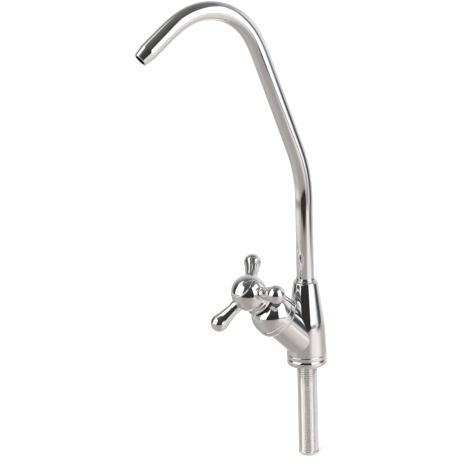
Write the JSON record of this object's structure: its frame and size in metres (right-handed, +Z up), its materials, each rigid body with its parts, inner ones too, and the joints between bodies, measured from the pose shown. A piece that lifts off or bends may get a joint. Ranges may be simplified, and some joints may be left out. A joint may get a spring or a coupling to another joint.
{
  "type": "drinking water filter tap",
  "caption": "Chrome deck-mounted filter tap: tapered column with an inclined valve, cross handle with ball ends, thin bent swivel spout and a threaded shank.",
  "frame": {"origin": "centre of the foot in the plane of the worktop", "axes": "+Z up along the column and the spout's turning axis, -Y to the front, where the barrel and the handle lean and the spout points; the shank hangs below the origin"},
  "size_m": [0.0471, 0.1042, 0.2534],
  "materials": {
    "chrome": "polished chrome plate",
    "nickel": "satin nickel plate",
    "brass": "turned, bright",
    "rubber": "matte black",
    "ceramic": "lapped white ceramic",
    "plastic": "natural white",
    "steel": "stainless"
  },
  "bodies": {
    "tap": {"tap_body": "chrome", "base_escutcheon": "chrome", "base_seal": "rubber", "threaded_shank": "nickel", "shank_gasket": "rubber", "bonnet_cover": "chrome", "cartridge_housing": "brass", "cartridge_o_ring": "rubber", "seat_seal": "rubber", "fixed_disc": "ceramic", "spout_snap_ring": "plastic", "spout_bushing": "plastic", "spout_collar": "chrome"},
    "spout": {"spout_tube": "chrome", "spout_insert": "brass", "spout_o_rings": "rubber"},
    "handle": {"handle_hub": "chrome", "handle_arm_upper": "chrome", "handle_arm_left": "chrome", "handle_arm_right": "chrome", "index_cap": "chrome", "handle_screw": "steel", "valve_spindle": "brass", "spindle_o_rings": "rubber", "thrust_washer": "plastic", "spindle_clip": "steel", "turning_disc": "ceramic"}
  },
  "joints": [
    {"name": "spout_swivel", "type": "hinge", "parent": "tap", "child": "spout", "pos_m": [0, 0, 0.04], "axis": [0, 0, 1], "continuous": true},
    {"name": "handle_turn", "type": "hinge", "parent": "tap", "child": "handle", "pos_m": [0, -0.03424, 0.04594], "axis": [0, -0.7071, 0.7071], "range_deg": [0, 90]}
  ]
}
